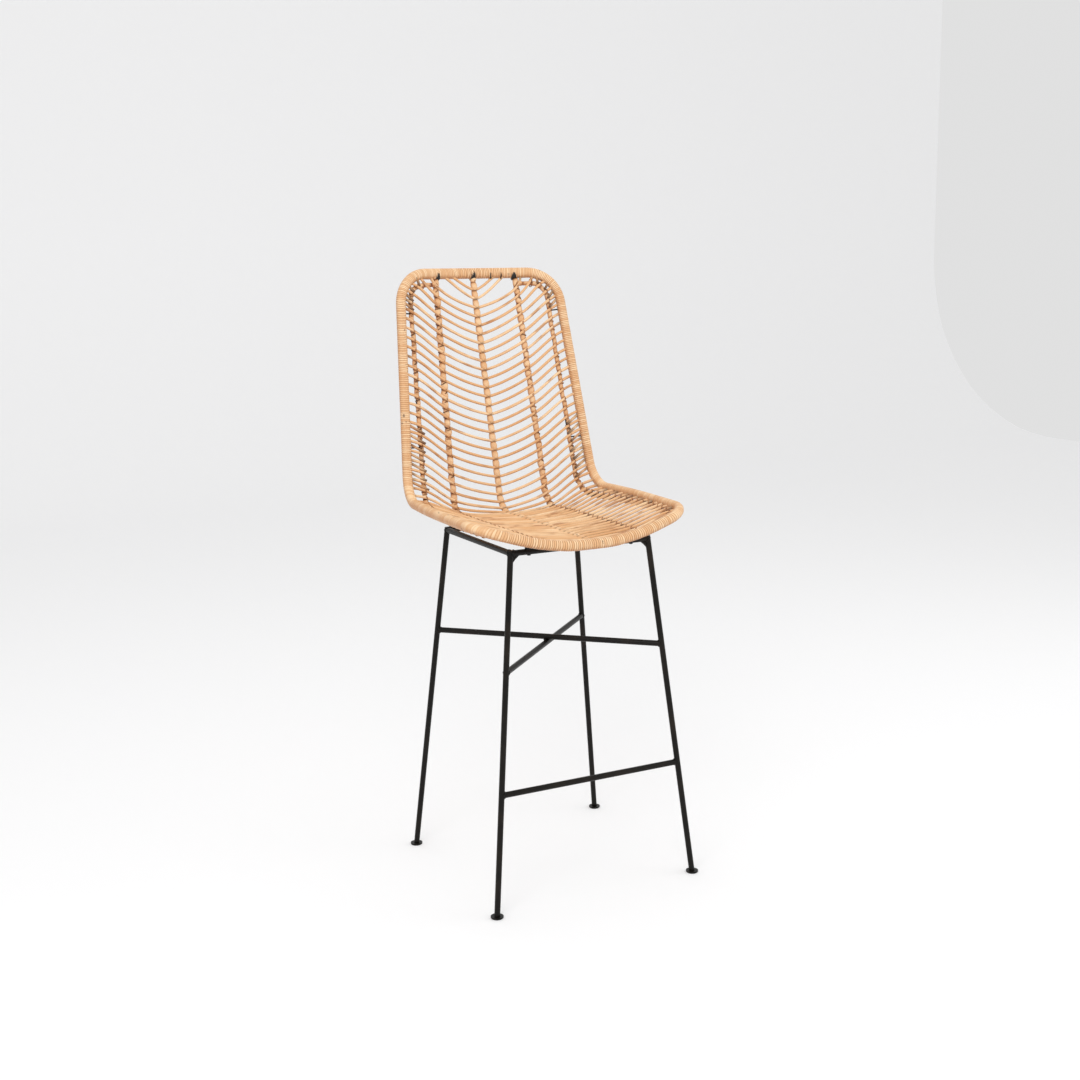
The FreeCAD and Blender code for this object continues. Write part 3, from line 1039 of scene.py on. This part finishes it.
class StoolStageSettings(bpy.types.PropertyGroup):
    floor_colour: bpy.props.FloatVectorProperty(
        name="Floor Colour", description="Colour of the seamless floor and backdrop",
        default=(0.83, 0.83, 0.833), size=3, min=0.0, max=1.0, subtype="COLOR")
    key_power: bpy.props.FloatProperty(
        name="Key Power", description="Power of the main soft light",
        default=55.0, min=0.0, unit="POWER")


# ---- operators ----
class STOOL_OT_stage(bpy.types.Operator):
    """Sets up the floor, backdrop, lights and camera"""
    bl_idname = "stool.stage"
    bl_label = "Stage"

    def execute(self, context):
        make_camera(context.scene)
        make_floor(context.scene.stool_stage.floor_colour)
        make_lights(context.scene.stool_stage.key_power)
        return {"FINISHED"}


class STOOL_OT_steel(bpy.types.Operator):
    """Paints the steel base and skeleton, and adds the welds of the base"""
    bl_idname = "stool.steel"
    bl_label = "Steel Base"

    def execute(self, context):
        paint = finishes()
        choice = {"black_steel": paint["steel"], "screw_steel": paint["screw"],
                  "glide_plastic": paint["glide"], "rattan_wrap": paint["binding"],
                  "rattan_strand": paint["cane"]}
        slots = {part["node"]: part["material_slot"] for part in frame["record"]["subparts"]}
        for name, node in frame["nodes"].items():
            node.data.materials.clear()
            node.data.materials.append(choice[slots[name]])
        paths = []
        for number, joint in enumerate(base_joints()):
            path = TubePath()
            for point in weld_ring(*joint):
                path.ring(point, WELD_BEAD_R, number)
            paths.append(path)
        mesh = tube_paths_mesh("base_welds", paths, closed=True)
        piece = grown("base_welds", mesh, tubes(), paint["steel"], Sides=8,
                      Wobble=0.0007)
        belongs(piece, "black_steel")
        return {"FINISHED"}


class STOOL_OT_rim(bpy.types.Operator):
    """Winds the rim with rattan peel"""
    bl_idname = "stool.rim"
    bl_label = "Rim Peel"

    def execute(self, context):
        settings = context.scene.stool_weave
        path = wind_rim(settings.rim_radius)
        mesh = tube_paths_mesh("rim_peel", [path], closed=True)
        piece = grown("rim_peel", mesh, tubes(), finishes()["rim"],
                      Sides=settings.rim_sides, Wobble=0.00018)
        belongs(piece, "rattan_wrap", "rim_wrap")
        return {"FINISHED"}


class STOOL_OT_ribs(bpy.types.Operator):
    """Winds the ribs and side loops with rattan peel"""
    bl_idname = "stool.ribs"
    bl_label = "Rib Peel"

    def execute(self, context):
        paths = {"rib_centre": wind_rod("centre", ROD_SEEDS["centre"])}
        for name, rod in (("rib", "rib"), ("side_loop", "loop")):
            seed = ROD_SEEDS[rod]
            paths[name + "_right"] = wind_rod(rod, seed)
            paths[name + "_left"] = mirrored_path(wind_rod(rod, seed + LEFT_SEED_STEP))
        for name, path in paths.items():
            mesh = tube_paths_mesh(name + "_peel", [path])
            piece = grown(name + "_peel", mesh, tubes(), finishes()["binding"],
                          Sides=14, Wobble=0.00035)
            belongs(piece, "rattan_wrap", name + "_wrap")
        return {"FINISHED"}


class STOOL_OT_strands(bpy.types.Operator):
    """Lays the strands of the back and the seat"""
    bl_idname = "stool.strands"
    bl_label = "Strands"

    def execute(self, context):
        radius = context.scene.stool_weave.strand_radius
        draw = random.Random(STRAND_SEED)
        back = [strand_route(back_distances(n)) for n in range(1, BACK_STRANDS + 1)]
        seat = [strand_route(seat_distances(index)) for index in range(SEAT_STRANDS)]
        for name, routes, dark_ends in (("back_strands", back, 0.45),
                                        ("seat_strands", seat, 0.6)):
            paths = [cane(route, radius, draw, dark_ends, number)
                     for number, route in enumerate(routes)]
            if name == "back_strands":
                paths += fillers(radius, draw)
            mesh = tube_paths_mesh(name, paths)
            piece = grown(name + "_cane", mesh, tubes(), finishes()["cane"],
                          Sides=10, Wobble=0.00022)
            belongs(piece, "rattan_strand", name)
        return {"FINISHED"}


class STOOL_OT_lashings(bpy.types.Operator):
    """Binds the strands to the rods with bands of peel"""
    bl_idname = "stool.lashings"
    bl_label = "Lashings"

    def execute(self, context):
        band = new_object("band", band_mesh("band"))
        piece = grown("lashings", tie_strands().mesh("lashings"), lashing_tree(),
                      finishes()["binding"], Band=band)
        belongs(piece, "rattan_wrap")
        bpy.data.objects.remove(band)
        return {"FINISHED"}


# ---- stage ----
CAMERA_AT = (-1.30880, -2.64752, 1.23985)
CAMERA_TURN = math.radians(-26.649)
CAMERA_DOWN = math.radians(10.420)
CAMERA_ROLL = math.radians(-0.979)
CAMERA_LENS = 46.721
# Soft lights: where, the height aimed at, size, share of the main light's power.
LIGHTS = (("key_light", (-2.0, -2.4, 3.2), 0.7, 2.4, 1.0),
          ("fill_light", (3.0, -1.6, 2.0), 0.7, 2.5, 0.4),
          ("top_light", (0.3, 0.8, 3.4), 0.6, 3.0, 0.2))
GLOW = 0.75
FLOOR_HALF_WIDTH = 7.0
FLOOR_PROFILE = (Vector((0, -6.0, 0.0)), Vector((0, 6.5, 0.0)), Vector((0, 6.5, 6.0)))
FLOOR_BEND_R = 1.4


def make_camera(scene):
    data = bpy.data.cameras.new("camera")
    data.lens = CAMERA_LENS
    data.sensor_width = 36
    camera = bpy.data.objects.new("camera", data)
    scene.collection.objects.link(camera)
    back = Vector((math.sin(CAMERA_TURN) * math.cos(CAMERA_DOWN),
                   -math.cos(CAMERA_TURN) * math.cos(CAMERA_DOWN), math.sin(CAMERA_DOWN)))
    right = Vector((math.cos(CAMERA_TURN), math.sin(CAMERA_TURN), 0))
    up = back.cross(right)
    cosine, sine = math.cos(CAMERA_ROLL), math.sin(CAMERA_ROLL)
    columns = (right * cosine + up * sine, up * cosine - right * sine, back)
    turned = Matrix(columns).transposed().to_4x4()
    camera.matrix_world = Matrix.Translation(CAMERA_AT) @ turned
    scene.camera = camera
    scene.view_settings.view_transform = "Standard"


def make_floor(colour):
    """A seamless sweep: a floor that curves up into a backdrop."""
    rows = Route.bent(FLOOR_PROFILE, {1: FLOOR_BEND_R}, step=0.05).points[::3]
    points = [(side * FLOOR_HALF_WIDTH, y, z) for _, y, z in rows for side in (-1, 1)]
    faces = [(2 * k, 2 * k + 1, 2 * k + 3, 2 * k + 2) for k in range(len(rows) - 1)]
    mesh = bpy.data.meshes.new("studio_sweep")
    mesh.from_pydata(points, [], faces)
    mesh.polygons.foreach_set("use_smooth", [True] * len(faces))
    sweep = new_object("studio_sweep", mesh)
    mesh.materials.append(stage_finish("Studio Sweep", tuple(colour) + (1.0,)))


def area_light(name, place, target, size, power):
    """A square soft light at a place, aimed at a target."""
    data = bpy.data.lights.new(name, "AREA")
    data.shape = "SQUARE"
    data.size = size
    data.energy = power
    light = bpy.data.objects.new(name, data)
    bpy.context.scene.collection.objects.link(light)
    light.location = place
    aim = Vector(target) - Vector(place)
    light.rotation_euler = aim.to_track_quat("-Z", "Y").to_euler()


def make_lights(key_power):
    """A main light, a fill, a light from above and an even glow all round."""
    for name, place, height_aimed_at, size, share in LIGHTS:
        area_light(name, place, (0, 0, height_aimed_at), size, key_power * share)
    world = bpy.data.worlds.new("studio")
    bpy.context.scene.world = world
    world.use_nodes = True
    glow = world.node_tree.nodes["Background"]
    glow.inputs["Color"].default_value = (1, 1, 1, 1)
    glow.inputs["Strength"].default_value = GLOW


# ---- panel and registration ----
MAKERS = (STOOL_OT_stage, STOOL_OT_steel, STOOL_OT_rim, STOOL_OT_ribs, STOOL_OT_strands,
          STOOL_OT_lashings)


class STOOL_PT_panel(bpy.types.Panel):
    """Lists the makers of the stool's pieces"""
    bl_idname = "STOOL_PT_panel"
    bl_label = "Bar Stool"
    bl_space_type = "VIEW_3D"
    bl_region_type = "UI"
    bl_category = "Bar Stool"

    def draw(self, context):
        layout = self.layout
        for settings in (context.scene.stool_weave, context.scene.stool_stage):
            for key in settings.bl_rna.properties.keys():
                if key not in ("rna_type", "name"):
                    layout.prop(settings, key)
        for maker in MAKERS:
            layout.operator(maker.bl_idname)


CLASSES = (StoolWeaveSettings, StoolStageSettings) + MAKERS + (STOOL_PT_panel,)


def register():
    for cls in CLASSES:
        bpy.utils.register_class(cls)
    bpy.types.Scene.stool_weave = bpy.props.PointerProperty(type=StoolWeaveSettings)
    bpy.types.Scene.stool_stage = bpy.props.PointerProperty(type=StoolStageSettings)


def unregister():
    del bpy.types.Scene.stool_stage
    del bpy.types.Scene.stool_weave
    for cls in reversed(CLASSES):
        bpy.utils.unregister_class(cls)


def main():
    register()
    for step in (bpy.ops.stool.stage, bpy.ops.stool.steel, bpy.ops.stool.rim,
                 bpy.ops.stool.ribs, bpy.ops.stool.strands, bpy.ops.stool.lashings):
        step()


if __name__ == "__main__":
    main()
